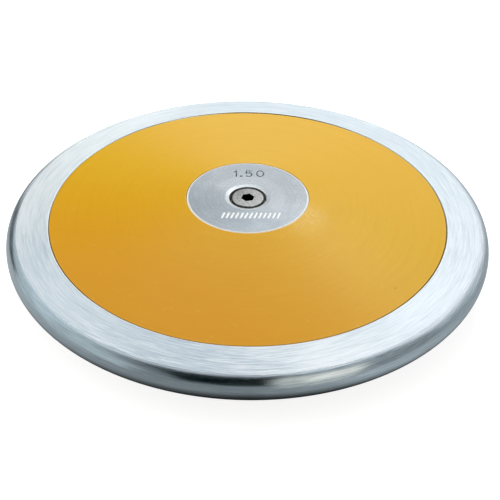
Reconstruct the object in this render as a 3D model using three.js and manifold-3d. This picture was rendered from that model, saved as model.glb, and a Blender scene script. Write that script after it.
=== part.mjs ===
// A throwing discus of the 1.5 kg class. A turned steel rim is held between two moulded side plates. One bolt
// and its barrel nut clamp these between two turned centre plates, round a hub core and a stack of ballast
// rings. Millimetres. +Z is the spin axis, and the origin is the centre of the discus.
import * as THREE from "three";
import { mergeVertices } from "three/addons/utils/BufferGeometryUtils.js";
import Module from "manifold-3d";

// Whole discus, by the rules for this weight class
const overallDiameter = 201;
const centreThickness = 38.5;
const centrePlateDiameter = 50.5;
const edgeRadius = 6.25;

// Rim
const rimFaceWidth = 18;
const shoulderChamfer = 0.4;
const tongueWidth = 5;
const tongueThickness = 7;
const sealGrooveWidth = 1.8;
const sealGrooveDepth = 1.2;
const sealGrooveInset = 1.2;
const sealGrooveWall = 0.6;
const lugNotchWidth = 8;

// Side plates
const sidePlateWall = 3;
const seatClearance = 0.2;
const skirtClearance = 0.15;
const skirtThickness = 2.4;
const skirtGap = 0.6;
const lugClearance = 0.25;
const floorThickness = 3;
const ribThickness = 2;
const ribDepth = 4.5;

// Centre plates
const flangeThickness = 3;
const flangeBevel = 0.4;
const plateClearance = 0.15;
const spigotWall = 4.15;
const spigotClearance = 0.15;
const counterboreWeb = 3.85;
const counterboreBevelWidth = 1.6;
const counterboreBevelDepth = 0.35;

// Hub core
const hubCoreWall = 3;
const hubCoreClearance = 0.2;

// Ballast
const ballastRingThickness = 1;
const trimShimThickness = 0.4;
const ballastClearance = 0.2;

// Seal rings
const sealClearance = 0.1;

// Bolt and barrel nut
const boltDiameter = 7.8;
const threadClearance = 0.15;
const barrelWall = 1.55;
const barrelClearance = 0.2;
const barrelStandOff = 1.1;
const headOverhang = 0.9;
const headHeight = 3;
const headBevel = 0.25;
const headRecess = 0.15;
const headClearance = 1.2;
const keyWidth = 4.76;
const socketDepth = 3.6;
const nutWeb = 2.5;
const boltTipGap = 5;
const boltTipChamfer = 0.8;

// Washers
const washerThickness = 2;
const washerClearance = 0.3;
const lockWasherSlit = 0.8;

// How far a cutting or joining block runs past the surface that it meets
const overrun = 0.5;

// Counts and angles
const rimSteps = 64;
const plateSteps = 48;
const pinSteps = 32;
const edgeSteps = 8;
const lugCount = 4;
const ribCount = 12;
const ballastRingsEachSide = 2;
const trimShimsEachSide = 1;
const socketTurn = THREE.MathUtils.degToRad(12);
const slitTurn = THREE.MathUtils.degToRad(130);
const slitLean = THREE.MathUtils.degToRad(30);

// Radii and heights that the sizes above give. Heights are those of the upper half.
const overallRadius = overallDiameter / 2;
const faceHeight = centreThickness / 2;
const centrePlateRadius = centrePlateDiameter / 2;
const edgeCentre = overallRadius - edgeRadius;

const shoulderRadius = overallRadius - rimFaceWidth;
const tongueTop = tongueThickness / 2;
const tongueBore = shoulderRadius - tongueWidth;
const grooveOuter = shoulderRadius - sealGrooveInset;
const grooveInner = grooveOuter - sealGrooveWidth;
const grooveFloor = tongueTop - sealGrooveDepth;
const notchRadius = grooveInner - sealGrooveWall;

const sidePlateRadius = shoulderRadius - seatClearance;
const skirtOuter = tongueBore - skirtClearance;
const skirtInner = skirtOuter - skirtThickness;
const skirtFoot = skirtGap / 2;
const recessRadius = centrePlateRadius + plateClearance;
const recessFloor = faceHeight - flangeThickness;
const floorUnderside = recessFloor - floorThickness;
const cupRadius = recessRadius + sidePlateWall;

const boltRadius = boltDiameter / 2;
const barrelBore = boltRadius + threadClearance;
const barrelRadius = barrelBore + barrelWall;
const headRadius = barrelRadius + headOverhang;
const headTop = faceHeight - headRecess;
const headUnderside = headTop - headHeight;
const boreEnd = headTop - socketDepth - nutWeb;
const boltTip = boltTipGap - boreEnd;

const counterboreRadius = headRadius + headClearance;
const counterboreFloor = headUnderside - washerThickness;
const washerRadius = counterboreRadius - washerClearance;
const barrelEnd = counterboreFloor - barrelStandOff;
const plateBore = barrelRadius + barrelClearance;
const spigotRadius = counterboreRadius + spigotWall;
const spigotEnd = counterboreFloor - counterboreWeb;

const hubCoreBore = spigotRadius + spigotClearance;
const hubCoreRadius = hubCoreBore + hubCoreWall;
const hubHoleRadius = hubCoreRadius + hubCoreClearance;
const ballastBore = hubCoreRadius + ballastClearance;
const shimStackTop = trimShimsEachSide * trimShimThickness;
const stackTop = shimStackTop + ballastRingsEachSide * ballastRingThickness;

// The side tapers in a straight line from the edge of the centre plate to where it touches the round edge.
const taperRun = edgeCentre - centrePlateRadius;
const taperAngle =
  Math.atan2(faceHeight, taperRun) - Math.asin(edgeRadius / Math.hypot(taperRun, faceHeight));
const skinHeight = (radius) => faceHeight - (radius - centrePlateRadius) * Math.tan(taperAngle);
const skinUnderside = (radius) => skinHeight(radius) - sidePlateWall / Math.cos(taperAngle);

const wasm = await Module();
wasm.setup();

// Turns an outline of [radius, height] pairs, listed anticlockwise, about the Z axis.
function turned(outline, steps) {
  const points = outline.map(([radius, height]) => new THREE.Vector2(radius, height));
  const onAxis = outline[0][0] === 0;
  if (!onAxis) points.push(points[0].clone());
  return new THREE.LatheGeometry(points, steps).rotateX(Math.PI / 2);
}

// A closed geometry as a solid that can be joined and cut.
function solidOf(geometry) {
  const bare = geometry.index ? geometry.toNonIndexed() : geometry.clone();
  bare.deleteAttribute("normal");
  bare.deleteAttribute("uv");
  const merged = mergeVertices(bare);
  const mesh = new wasm.Mesh({
    numProp: 3,
    vertProperties: merged.attributes.position.array,
    triVerts: new Uint32Array(merged.index.array),
  });
  return new wasm.Manifold(mesh);
}

function geometryOf(solid) {
  const { vertProperties, triVerts } = solid.getMesh();
  const geometry = new THREE.BufferGeometry();
  geometry.setAttribute("position", new THREE.BufferAttribute(vertProperties, 3));
  geometry.setIndex(new THREE.BufferAttribute(triVerts, 1));
  return geometry;
}

// The same geometry, count times, evenly spaced about the Z axis.
function aroundAxis(geometry, count) {
  return Array.from({ length: count }, (_, i) =>
    geometry.clone().rotateZ((i * 2 * Math.PI) / count),
  );
}

// A block that reaches from one radius to another along +X, and from one height to another.
function radialBlock(fromRadius, toRadius, width, fromHeight, toHeight) {
  const block = new THREE.BoxGeometry(toRadius - fromRadius, width, toHeight - fromHeight);
  return block.translate((fromRadius + toRadius) / 2, 0, (fromHeight + toHeight) / 2);
}

function rim() {
  const edge = Array.from({ length: edgeSteps + 1 }, (_, i) => {
    const angle = (i / edgeSteps) * (Math.PI / 2 - taperAngle);
    return [edgeCentre + edgeRadius * Math.cos(angle), edgeRadius * Math.sin(angle)];
  });
  const upper = [
    ...edge,
    [shoulderRadius + shoulderChamfer, skinHeight(shoulderRadius + shoulderChamfer)],
    [shoulderRadius, skinHeight(shoulderRadius) - shoulderChamfer],
    [shoulderRadius, tongueTop],
    [grooveOuter, tongueTop],
    [grooveOuter, grooveFloor],
    [grooveInner, grooveFloor],
    [grooveInner, tongueTop],
    [tongueBore, tongueTop],
  ];
  const lower = upper.slice(1).reverse().map(([radius, height]) => [radius, -height]);
  const notch = radialBlock(
    tongueBore - overrun,
    notchRadius,
    lugNotchWidth,
    -tongueTop - overrun,
    tongueTop + overrun,
  );
  const whole = solidOf(turned([...upper, ...lower], rimSteps));
  return geometryOf(aroundAxis(notch, lugCount).reduce((left, cut) => left.subtract(solidOf(cut)), whole));
}

// One radial rib, a flat web under the skin from the cup to the skirt.
function sidePlateRib() {
  const inner = cupRadius - sidePlateWall / 2;
  const outer = skirtInner + skirtThickness / 2;
  const ribFoot = (radius) => skinUnderside(radius) - ribDepth;
  const skinMiddle = (radius) => skinUnderside(radius) + sidePlateWall / 2;
  const web = new THREE.Shape([
    new THREE.Vector2(inner, ribFoot(inner)),
    new THREE.Vector2(outer, ribFoot(outer)),
    new THREE.Vector2(outer, skinMiddle(outer)),
    new THREE.Vector2(inner, skinMiddle(inner)),
  ]);
  const rib = new THREE.ExtrudeGeometry(web, { depth: ribThickness, bevelEnabled: false });
  return rib.translate(0, 0, -ribThickness / 2).rotateX(Math.PI / 2);
}

// The skin, its turned-down skirt inside the rim, and the cup that holds the centre plate and presses on the
// ballast.
function sidePlate() {
  const shell = turned(
    [
      [hubHoleRadius, recessFloor],
      [hubHoleRadius, floorUnderside],
      [recessRadius, floorUnderside],
      [recessRadius, stackTop],
      [cupRadius, stackTop],
      [cupRadius, skinUnderside(cupRadius)],
      [skirtInner, skinUnderside(skirtInner)],
      [skirtInner, skirtFoot],
      [skirtOuter, skirtFoot],
      [skirtOuter, tongueTop],
      [sidePlateRadius, tongueTop],
      [sidePlateRadius, skinHeight(sidePlateRadius)],
      [recessRadius, skinHeight(recessRadius)],
      [recessRadius, recessFloor],
    ],
    rimSteps,
  );
  const lug = radialBlock(
    skirtOuter - skirtThickness / 2,
    notchRadius - lugClearance,
    lugNotchWidth - 2 * lugClearance,
    skirtFoot,
    tongueTop + overrun,
  );
  const additions = [...aroundAxis(sidePlateRib(), ribCount), ...aroundAxis(lug, lugCount)];
  return geometryOf(additions.reduce((whole, piece) => whole.add(solidOf(piece)), solidOf(shell)));
}

function centrePlate() {
  return turned(
    [
      [plateBore, counterboreFloor],
      [plateBore, spigotEnd],
      [spigotRadius, spigotEnd],
      [spigotRadius, recessFloor],
      [centrePlateRadius, recessFloor],
      [centrePlateRadius, faceHeight - flangeBevel],
      [centrePlateRadius - flangeBevel, faceHeight],
      [counterboreRadius + counterboreBevelWidth, faceHeight],
      [counterboreRadius, faceHeight - counterboreBevelDepth],
      [counterboreRadius, counterboreFloor],
    ],
    plateSteps,
  );
}

// A plain ring of rectangular section, standing on the given height.
function ring(innerRadius, outerRadius, foot, thickness, steps) {
  return turned(
    [
      [innerRadius, foot],
      [outerRadius, foot],
      [outerRadius, foot + thickness],
      [innerRadius, foot + thickness],
    ],
    steps,
  );
}

function sealRing() {
  const inner = grooveInner + sealClearance;
  const outer = grooveOuter - sealClearance;
  return ring(inner, outer, grooveFloor, sealGrooveDepth, rimSteps);
}

function hubCore() {
  return ring(hubCoreBore, hubCoreRadius, -recessFloor, 2 * recessFloor, plateSteps);
}

// One steel ring of the stack round the hub core.
function weightRing(foot, thickness) {
  return ring(ballastBore, cupRadius, foot, thickness, plateSteps);
}

// The six-sided key socket in the top of a head, as the block that cuts it.
function keySocket() {
  const cornerRadius = keyWidth / 2 / Math.cos(Math.PI / 6);
  const hexagon = new THREE.Shape(
    Array.from({ length: 6 }, (_, i) => {
      const angle = socketTurn + (i * Math.PI) / 3;
      return new THREE.Vector2(cornerRadius * Math.cos(angle), cornerRadius * Math.sin(angle));
    }),
  );
  const block = new THREE.ExtrudeGeometry(hexagon, { depth: socketDepth + overrun, bevelEnabled: false });
  return block.translate(0, 0, headTop - socketDepth);
}

// The rim of a flat round head, from under it to the axis.
function headOutline() {
  return [
    [headRadius, headUnderside],
    [headRadius, headTop - headBevel],
    [headRadius - headBevel, headTop],
    [0, headTop],
  ];
}

function centreBolt() {
  const body = turned(
    [
      [0, boltTip],
      [boltRadius - boltTipChamfer, boltTip],
      [boltRadius, boltTip + boltTipChamfer],
      [boltRadius, headUnderside],
      ...headOutline(),
    ],
    pinSteps,
  );
  return geometryOf(solidOf(body).subtract(solidOf(keySocket())));
}

function barrelNut() {
  const body = turned(
    [
      [0, boreEnd],
      [barrelBore, boreEnd],
      [barrelBore, -barrelEnd],
      [barrelRadius, -barrelEnd],
      [barrelRadius, headUnderside],
      ...headOutline(),
    ],
    pinSteps,
  );
  return geometryOf(solidOf(body).subtract(solidOf(keySocket())));
}

function flatWasher() {
  return ring(plateBore, washerRadius, counterboreFloor, washerThickness, pinSteps);
}

// A spring washer, squeezed flat, with its leaning slit.
function lockWasher() {
  const inner = boltRadius + washerClearance;
  const body = ring(inner, washerRadius, counterboreFloor, washerThickness, pinSteps);
  const slit = radialBlock(0, washerRadius + overrun, lockWasherSlit, -washerThickness, washerThickness);
  slit.rotateX(slitLean).rotateZ(slitTurn);
  slit.translate(0, 0, counterboreFloor + washerThickness / 2);
  return geometryOf(solidOf(body).subtract(solidOf(slit)));
}

const zincSteel = { color: "#d3dce2", roughness: 0.34, metalness: 0.9 };
const goldPlastic = { color: "#dfa32b", roughness: 0.32, metalness: 0 };
const aluminium = { color: "#b4bec4", roughness: 0.38, metalness: 0.9 };
const boltSteel = { color: "#a5a7a6", roughness: 0.42, metalness: 0.85 };
const greySteel = { color: "#8b8f92", roughness: 0.5, metalness: 0.8 };
const blackRubber = { color: "#1b1b1c", roughness: 0.85, metalness: 0 };

const discus = new THREE.Group();

// Pieces of the lower half are the same as those of the upper half, turned over about the X axis.
function addPiece(name, geometry, finish, turnedOver = false) {
  const piece = new THREE.Mesh(geometry, new THREE.MeshStandardMaterial(finish));
  piece.name = name;
  if (turnedOver) piece.rotation.x = Math.PI;
  discus.add(piece);
}

addPiece("rim", rim(), zincSteel);
addPiece("upper_side_plate", sidePlate(), goldPlastic);
addPiece("lower_side_plate", sidePlate(), goldPlastic, true);
addPiece("upper_centre_plate", centrePlate(), aluminium);
addPiece("lower_centre_plate", centrePlate(), aluminium, true);
addPiece("upper_seal_ring", sealRing(), blackRubber);
addPiece("lower_seal_ring", sealRing(), blackRubber, true);

addPiece("hub_core", hubCore(), aluminium);
addPiece("centre_bolt", centreBolt(), boltSteel);
addPiece("barrel_nut", barrelNut(), boltSteel, true);
addPiece("lock_washer", lockWasher(), greySteel);
addPiece("flat_washer", flatWasher(), greySteel, true);

// The stack is built outwards from the middle plane: the shims first, then the ballast rings.
for (const [half, turnedOver] of [["upper", false], ["lower", true]]) {
  for (let i = 0; i < trimShimsEachSide; i += 1) {
    const shim = weightRing(i * trimShimThickness, trimShimThickness);
    addPiece(`${half}_trim_shim_${i + 1}`, shim, greySteel, turnedOver);
  }
  for (let i = 0; i < ballastRingsEachSide; i += 1) {
    const weight = weightRing(shimStackTop + i * ballastRingThickness, ballastRingThickness);
    addPiece(`${half}_ballast_ring_${i + 1}`, weight, greySteel, turnedOver);
  }
}

export default discus;
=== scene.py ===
"""A throwing discus of the 1.5 kg class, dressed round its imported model.

A zinc-bright steel rim, brushed round its circumference, two satin gold side plates, two finely turned
centre plates and a socket bolt. Every piece is a profile turned about the Z axis, with the stamped number,
the key socket, the thread, the lugs and the ribs worked into the same surfaces. Metres throughout.
"""
import math

import bpy
import numpy as np
from mathutils import Matrix, Vector


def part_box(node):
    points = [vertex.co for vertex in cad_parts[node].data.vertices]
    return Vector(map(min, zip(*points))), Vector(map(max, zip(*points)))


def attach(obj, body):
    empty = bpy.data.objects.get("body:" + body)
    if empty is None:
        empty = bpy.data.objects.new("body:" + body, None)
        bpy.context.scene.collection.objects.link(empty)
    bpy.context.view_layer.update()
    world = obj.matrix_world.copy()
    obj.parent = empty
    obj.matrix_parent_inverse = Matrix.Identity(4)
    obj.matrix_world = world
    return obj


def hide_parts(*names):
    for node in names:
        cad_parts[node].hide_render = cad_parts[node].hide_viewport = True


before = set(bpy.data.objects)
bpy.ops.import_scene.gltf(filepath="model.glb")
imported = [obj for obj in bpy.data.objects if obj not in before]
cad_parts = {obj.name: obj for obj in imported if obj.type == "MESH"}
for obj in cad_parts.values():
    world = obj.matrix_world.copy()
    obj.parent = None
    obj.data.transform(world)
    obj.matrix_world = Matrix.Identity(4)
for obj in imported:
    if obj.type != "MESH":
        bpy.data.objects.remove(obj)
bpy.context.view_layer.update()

MM = 0.001
DEGREE = math.pi / 180

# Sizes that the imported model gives
RIM_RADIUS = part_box("rim")[1].x
FACE_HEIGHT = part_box("upper_centre_plate")[1].z
PLATE_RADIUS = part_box("upper_centre_plate")[1].x
SPIGOT_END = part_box("upper_centre_plate")[0].z
SIDE_PLATE_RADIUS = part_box("upper_side_plate")[1].x
SKIRT_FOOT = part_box("upper_side_plate")[0].z
CUP_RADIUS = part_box("upper_ballast_ring_2")[1].x
STACK_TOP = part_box("upper_ballast_ring_2")[1].z
RECESS_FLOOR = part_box("hub_core")[1].z
HEAD_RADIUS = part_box("centre_bolt")[1].x
HEAD_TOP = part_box("centre_bolt")[1].z
BOLT_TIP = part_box("centre_bolt")[0].z
BARREL_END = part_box("barrel_nut")[1].z
COUNTERBORE_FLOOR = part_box("lock_washer")[0].z
HEAD_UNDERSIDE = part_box("lock_washer")[1].z

# Sizes inside the pieces. SKIN_SINK is how far the gold's outer edge lies below the rim's shoulder, and
# POLISH_FROM where on the round edge the polish starts, as an angle from its top.
EDGE_RADIUS = 6.25 * MM
POLISH_FROM = 18 * DEGREE
SHOULDER_RADIUS = 82.5 * MM
SHOULDER_CHAMFER = 0.4 * MM
TONGUE_TOP = 3.5 * MM
TONGUE_BORE = 77.5 * MM
GROOVE_OUTER = 81.3 * MM
GROOVE_INNER = 79.5 * MM
GROOVE_FLOOR = 2.3 * MM
NOTCH_RADIUS = 78.9 * MM
NOTCH_WIDTH = 8 * MM
SKIN_WALL = 3 * MM
SKIN_SINK = 0.25 * MM
SKIRT_OUTER = 77.35 * MM
SKIRT_INNER = 74.95 * MM
LUG_RADIUS = 78.65 * MM
LUG_WIDTH = 7.5 * MM
RECESS_RADIUS = 25.4 * MM
FLOOR_UNDERSIDE = 13.25 * MM
HUB_HOLE_RADIUS = 15.2 * MM
RIB_THICKNESS = 2 * MM
RIB_DEPTH = 4.5 * MM
FLANGE_BEVEL = 0.4 * MM
PLATE_BORE = 5.8 * MM
SPIGOT_RADIUS = 11.85 * MM
COUNTERBORE_RADIUS = 7.7 * MM
COUNTERBORE_BEVEL = 1.6 * MM
COUNTERBORE_BEVEL_DEPTH = 0.35 * MM
HUB_CORE_BORE = 12 * MM
BOLT_RADIUS = 3.9 * MM
BARREL_BORE = 4.05 * MM
BARREL_RADIUS = 5.6 * MM
BORE_END = 13 * MM
HEAD_BEVEL = 0.25 * MM
KEY_WIDTH = 4.76 * MM
SOCKET_DEPTH = 3.6 * MM
SOCKET_TURN = 12 * DEGREE
THREAD_PITCH = 1.41 * MM
THREAD_DEPTH = 0.5 * MM
THREAD_TOP = 6 * MM
TIP_BEVEL = 0.8 * MM
BALLAST_BORE = 15.2 * MM
WASHER_BORE = 5.8 * MM
SEAL_BORE = 79.6 * MM

# How far corners are eased, how far the rubbed marks with their painted highlight reach, and how near a
# point lies to count as on a surface
RIM_EASE = 0.12 * MM
SIDE_PLATE_EASE = 0.1 * MM
HEAD_EASE = 0.1 * MM
WORN_CORNER = 0.12 * MM
RUB_AND_HIGHLIGHT_REACH = 0.2 * MM
FINE_GAP = 0.02 * MM

# Counts
TURN_STEPS = 360
PIN_STEPS = 96
EDGE_STEPS = 49
CORNER_STEPS = 5
LUG_COUNT = 4
RIB_COUNT = 12

EDGE_CENTRE = RIM_RADIUS - EDGE_RADIUS
TAPER_RUN = EDGE_CENTRE - PLATE_RADIUS
TAPER = math.atan2(FACE_HEIGHT, TAPER_RUN) - math.asin(EDGE_RADIUS / math.hypot(TAPER_RUN, FACE_HEIGHT))


def skin_height(radius):
    """Height of the tapered side at a radius: a straight fall from the edge of the centre plate."""
    return FACE_HEIGHT - (radius - PLATE_RADIUS) * math.tan(TAPER)


def skin_underside(radius):
    """Height of the inner face of the tapered wall."""
    return skin_height(radius) - SKIN_WALL / math.cos(TAPER)


# Profiles and surfaces

# How far out the extra points of a softened corner lie, as a multiple of the easing distance
PAST_THE_CURVE = 1.5


def softened(corners, ease):
    """Rounds each inner corner of an open chain of [radius, height] points.

    Corner P gives way to the curve (1-t)^2 A + 2t(1-t) P + t^2 B, where A and B lie on its two sides at the
    easing distance. One more point is set on each side, a little past A and B, so that the flats stay flat.
    """
    chain = np.asarray(corners, float)
    here = chain[1:-1]
    reach = np.broadcast_to(ease, len(here))[:, None]

    def towards(beside):
        return (beside - here) / np.linalg.norm(beside - here, axis=1, keepdims=True) * reach

    back = towards(chain[:-2])
    ahead = towards(chain[2:])
    t = np.linspace(0, 1, CORNER_STEPS)[None, :, None]
    curve = (
        (1 - t) ** 2 * (here + back)[:, None]
        + 2 * t * (1 - t) * here[:, None]
        + t**2 * (here + ahead)[:, None]
    )
    before = here + PAST_THE_CURVE * back
    after = here + PAST_THE_CURVE * ahead
    eased = np.concatenate([before[:, None], curve, after[:, None]], axis=1)
    return np.concatenate([chain[:1], eased.reshape(-1, 2), chain[-1:]])


def softened_loop(corners, ease):
    """The same for an outline that closes on itself."""
    return softened([corners[-1], *corners, corners[0]], ease)[1:-1]


# Distances from its ends at which a long side gets points, where they take less than this share of it
GUARDS = np.array([0.15, 0.35, 0.6, 1.0, 1.6]) * MM
GUARDED_SHARE = 0.4


def guarded(outline):
    """Adds points to the long sides of a closed outline, at set distances from both of their ends.

    They keep the shading flat up to the corners, and carry marks that fade within a millimetre.
    """
    parts = []
    for start, stop in zip(outline, np.roll(outline, -1, axis=0)):
        length = np.linalg.norm(stop - start)
        parts.append(start[None])
        near = GUARDS[GUARDS < GUARDED_SHARE * length]
        if len(near) > 1:
            along = np.concatenate([near, length - near[::-1]]) / length
            parts.append(start + along[:, None] * (stop - start))
    return np.concatenate(parts)


def even_angles(count):
    """Angles that share out a whole turn, from 0."""
    return np.arange(count) * 2 * math.pi / count


def swept(outline, angles):
    """Turns an outline about Z: (r, h) at angle a goes to (r cos a, r sin a, h). r may differ with a."""
    rows = []
    for radius, height in outline:
        x = radius * np.cos(angles)
        y = radius * np.sin(angles)
        rows.append(np.stack([x, y, np.full(len(angles), height)], axis=-1))
    return np.stack(rows)


def turned_over(points):
    """Half a turn about X, as the pieces of the lower half lie."""
    return points * np.array([1, -1, -1])


def shown(name, data):
    """An object in the scene that holds the data."""
    thing = bpy.data.objects.new(name, data)
    bpy.context.scene.collection.objects.link(thing)
    return thing


def skin(name, rows, marks, over=False, loop=True):
    """A closed mesh over a grid of points whose rows are rings round the axis.

    With loop, the last row joins the first. Without it, the first and last rows are single points at the
    poles. The faces are turned outwards by the sign of the enclosed volume, the sum of a . (b x c) / 6 over
    the triangles. marks names values given per row and column, kept as attributes of the points.
    """
    if over:
        rows = turned_over(rows)
    own = np.ones(rows.shape[:2], bool)
    if not loop:
        own[[0, -1], 1:] = False
    points = rows[own]
    index = (np.cumsum(own) - 1).reshape(own.shape)
    if loop:
        index = np.concatenate([index, index[:1]])
    beside = np.roll(index, -1, axis=1)
    faces = np.stack([index[:-1], beside[:-1], beside[1:], index[1:]], axis=-1).reshape(-1, 4)
    a, b, c, d = (points[faces[:, i]] for i in range(4))
    volume = np.einsum("ij,ij->", a, np.cross(b, c) + np.cross(c, d))
    if volume < 0:
        faces = faces[:, ::-1]
    kept = faces != np.roll(faces, 1, axis=1)
    totals = kept.sum(axis=1)
    mesh = bpy.data.meshes.new(name)
    mesh.vertices.add(len(points))
    mesh.vertices.foreach_set("co", points.astype(np.float32).ravel())
    mesh.loops.add(int(totals.sum()))
    mesh.loops.foreach_set("vertex_index", faces[kept].astype(np.int32))
    mesh.polygons.add(len(faces))
    mesh.polygons.foreach_set("loop_start", (np.cumsum(totals) - totals).astype(np.int32))
    mesh.update(calc_edges=True)
    mesh.shade_smooth()
    for mark, values in marks.items():
        attribute = mesh.attributes.new(mark, "FLOAT", "POINT")
        attribute.data.foreach_set("value", np.broadcast_to(values, own.shape)[own].astype(np.float32))
    return shown(name, mesh)


def smooth(value, low, high):
    """0 below low, 1 above high, and a smooth step between: t^2 (3 - 2t)."""
    share = np.clip((value - low) / (high - low), 0, 1)
    return share * share * (3 - 2 * share)


def nearness(outline, places, reach):
    """For each outline point, exp(-d / reach) of the distance d to the nearest of the given places."""
    gaps = np.linalg.norm(outline[:, None] - np.array(places), axis=-1).min(axis=1)
    return np.exp(-gaps / reach)[:, None]


def dress(piece, node, material):
    """Puts a piece in the place of its node, on the one body and its material."""
    piece.data.materials.append(material)
    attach(piece, "root")
    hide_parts(node)


# Shader building

class Wire:
    """What a node gives: a number, a point or a colour. Numbers take the signs of plain arithmetic."""

    def __init__(self, socket):
        self.socket = socket

    def __add__(self, other):
        return calc("ADD", self, other)

    def __sub__(self, other):
        return calc("SUBTRACT", self, other)

    def __mul__(self, other):
        return calc("MULTIPLY", self, other)

    def ramp(self, low, high, to_low=0.0, to_high=1.0):
        """Carries low..high to to_low..to_high along a smooth step, and holds the ends."""
        feeds = {"Value": self, "From Min": low, "From Max": high, "To Min": to_low, "To Max": to_high}
        return put("ShaderNodeMapRange", feeds, interpolation_type="SMOOTHSTEP")[0]


def put(kind, feeds=(), tree=None, **settings):
    """Adds a node, and gives its outputs by number and by name.

    feeds holds its inputs by number or name, each a plain value or a wire to link. Where no tree is given,
    the node goes where its first wire comes from.
    """
    feeds = dict(feeds)
    if tree is None:
        tree = next(value.socket.id_data for value in feeds.values() if isinstance(value, Wire))
    node = tree.nodes.new(kind)
    for name, value in settings.items():
        setattr(node, name, value)
    for name, value in feeds.items():
        if isinstance(value, Wire):
            tree.links.new(value.socket, node.inputs[name])
        else:
            node.inputs[name].default_value = value
    wires = [Wire(socket) for socket in node.outputs]
    return {**dict(enumerate(wires)), **{wire.socket.name: wire for wire in wires}}


def calc(operation, *numbers):
    """A number worked out from numbers, by an operation of the Math node."""
    return put("ShaderNodeMath", enumerate(numbers), operation=operation)[0]


def measured(operation, *points):
    """A number worked out from points: DOT_PRODUCT, DISTANCE or LENGTH."""
    return put("ShaderNodeVectorMath", enumerate(points), operation=operation)["Value"]


def between(amount, first, second):
    """The number first, giving way to second as amount goes from 0 to 1."""
    return put("ShaderNodeMix", {0: amount, 2: first, 3: second})[0]


def mixed(amount, first, second):
    """The same for colours."""
    return put("ShaderNodeMix", {0: amount, 6: first, 7: second}, data_type="RGBA")[2]


def spot_on(tree):
    """The place of the shaded point in the frame of the discus."""
    return put("ShaderNodeTexCoord", tree=tree)["Object"]


def parts_of(spot):
    parts = put("ShaderNodeSeparateXYZ", {0: spot})
    return [parts[axis] for axis in "XYZ"]


def without_height(spot):
    return put("ShaderNodeVectorMath", {0: spot, 1: (1, 1, 0)}, operation="MULTIPLY")[0]


def noise(spot, scale, detail):
    return put("ShaderNodeTexNoise", {"Vector": spot, "Scale": scale, "Detail": detail})["Fac"]


def mark_of(tree, name):
    """A value kept on the points of the piece."""
    return put("ShaderNodeAttribute", tree=tree, attribute_name=name)["Fac"]


def linear(red, green, blue):
    """An sRGB colour, 0 to 255, as the linear colour with alpha that a shader takes."""
    share = np.array([red, green, blue]) / 255
    levels = np.where(share <= 0.04045, share / 12.92, ((share + 0.055) / 1.055) ** 2.4)
    return (*levels.tolist(), 1.0)


def new_group(name, inputs, outputs):
    """An empty shader group with number inputs {name: default} and number outputs, and what it is given."""
    group = bpy.data.node_groups.new(name, "ShaderNodeTree")
    for label, default in inputs.items():
        socket = group.interface.new_socket(label, in_out="INPUT", socket_type="NodeSocketFloat")
        socket.default_value = default
    for label in outputs:
        group.interface.new_socket(label, in_out="OUTPUT", socket_type="NodeSocketFloat")
    return group, put("NodeGroupInput", tree=group)


def place(tree, group, **inputs):
    """One use of a group, with its inputs by name. It gives the group's outputs."""
    return put("ShaderNodeGroup", inputs, tree, node_tree=group)


def grain_group():
    """Streaks that run round the axis.

    Four-dimensional noise is read at (K x/r, K y/r, M s, M z). K sets how often a streak breaks on its way
    round, and M how many lie side by side in a metre. s is the radius r plus the weave times a sine of the
    heading, so that the streaks of different layers cross at a small angle.
    """
    defaults = {"Breaks": 14.0, "Strands": 2500.0, "Weave": 0.0}
    group, given = new_group("Turned grain", defaults, ("Fine", "Broad", "Height"))
    spot = spot_on(group)
    x, y, z = parts_of(spot)
    flat = without_height(spot)
    radius = measured("LENGTH", flat)
    heading = put("ShaderNodeVectorMath", {0: flat}, operation="NORMALIZE")[0]
    turn = calc("ARCTAN2", y, x)

    def layer(breaks_share, strands_share, detail, waves):
        breaks = given["Breaks"] * breaks_share
        strands = given["Strands"] * strands_share
        woven = radius + calc("SINE", turn * waves) * given["Weave"]
        round_it = put("ShaderNodeVectorMath", {0: heading, "Scale": breaks}, operation="SCALE")[0]
        outward = put("ShaderNodeCombineXYZ", {"Z": woven * strands})[0]
        where = put("ShaderNodeVectorMath", {0: round_it, 1: outward})[0]
        feeds = {"Vector": where, "W": z * strands, "Scale": 1.0, "Detail": detail, "Roughness": 0.6}
        return put("ShaderNodeTexNoise", feeds, noise_dimensions="4D")["Fac"]

    fine = layer(breaks_share=2.2, strands_share=2.6, detail=2.0, waves=9.0)
    broad = layer(breaks_share=0.6, strands_share=0.45, detail=2.0, waves=5.0)
    middle = layer(breaks_share=1.0, strands_share=1.0, detail=1.0, waves=-7.0)
    height = fine * 0.4 + middle * 0.6
    put("NodeGroupOutput", {"Fine": fine * 0.5 + middle * 0.5, "Broad": broad, "Height": height})
    return group


SCRATCH_TURNS = (35 * DEGREE, 118 * DEGREE)


def scratch_group():
    """Sparse straight scratches in two directions.

    In each layer, noise is read at a point turned by an angle and stretched along one axis, and only its
    highest crests are kept, which leaves thin separate lines.
    """
    group, given = new_group("Scratches", {"Scale": 120.0, "Stretch": 14.0, "Amount": 0.5}, ("Mask",))
    crest = given["Amount"].ramp(0.0, 1.0, 0.8, 0.6)
    masks = []
    for turn in SCRATCH_TURNS:
        feeds = {"Vector": spot_on(group), "Rotation": (0, 0, turn)}
        x, y, _ = parts_of(put("ShaderNodeMapping", feeds)[0])
        feeds = {"X": x * given["Scale"], "Y": y * given["Scale"] * given["Stretch"], "Z": turn}
        where = put("ShaderNodeCombineXYZ", feeds)[0]
        masks.append(noise(where, 1.0, 1.0).ramp(crest, crest + 0.05))
    put("NodeGroupOutput", {"Mask": calc("MAXIMUM", *masks)})
    return group


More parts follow.
